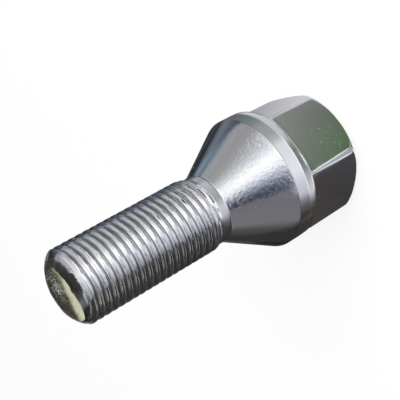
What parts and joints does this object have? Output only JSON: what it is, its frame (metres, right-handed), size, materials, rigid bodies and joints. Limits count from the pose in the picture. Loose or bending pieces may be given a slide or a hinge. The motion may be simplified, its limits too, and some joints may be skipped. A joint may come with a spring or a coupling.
{
  "type": "wheel bolt",
  "caption": "Bright plated steel wheel bolt with a hexagon head, a round collar, a conical seat and a fine-threaded shank, to hold a road wheel on its hub.",
  "frame": {"origin": "centre of the head's flat end, on which the bolt stands", "axes": "+Z along the bolt's axis from the head's end to the threaded tip; +X through a corner of the hexagon; +Y square to a pair of flats"},
  "size_m": [0.022, 0.022, 0.051],
  "materials": {
    "plated_steel": "gloss"
  },
  "bodies": {
    "root": {"wheel_bolt": "plated_steel"}
  },
  "joints": []
}
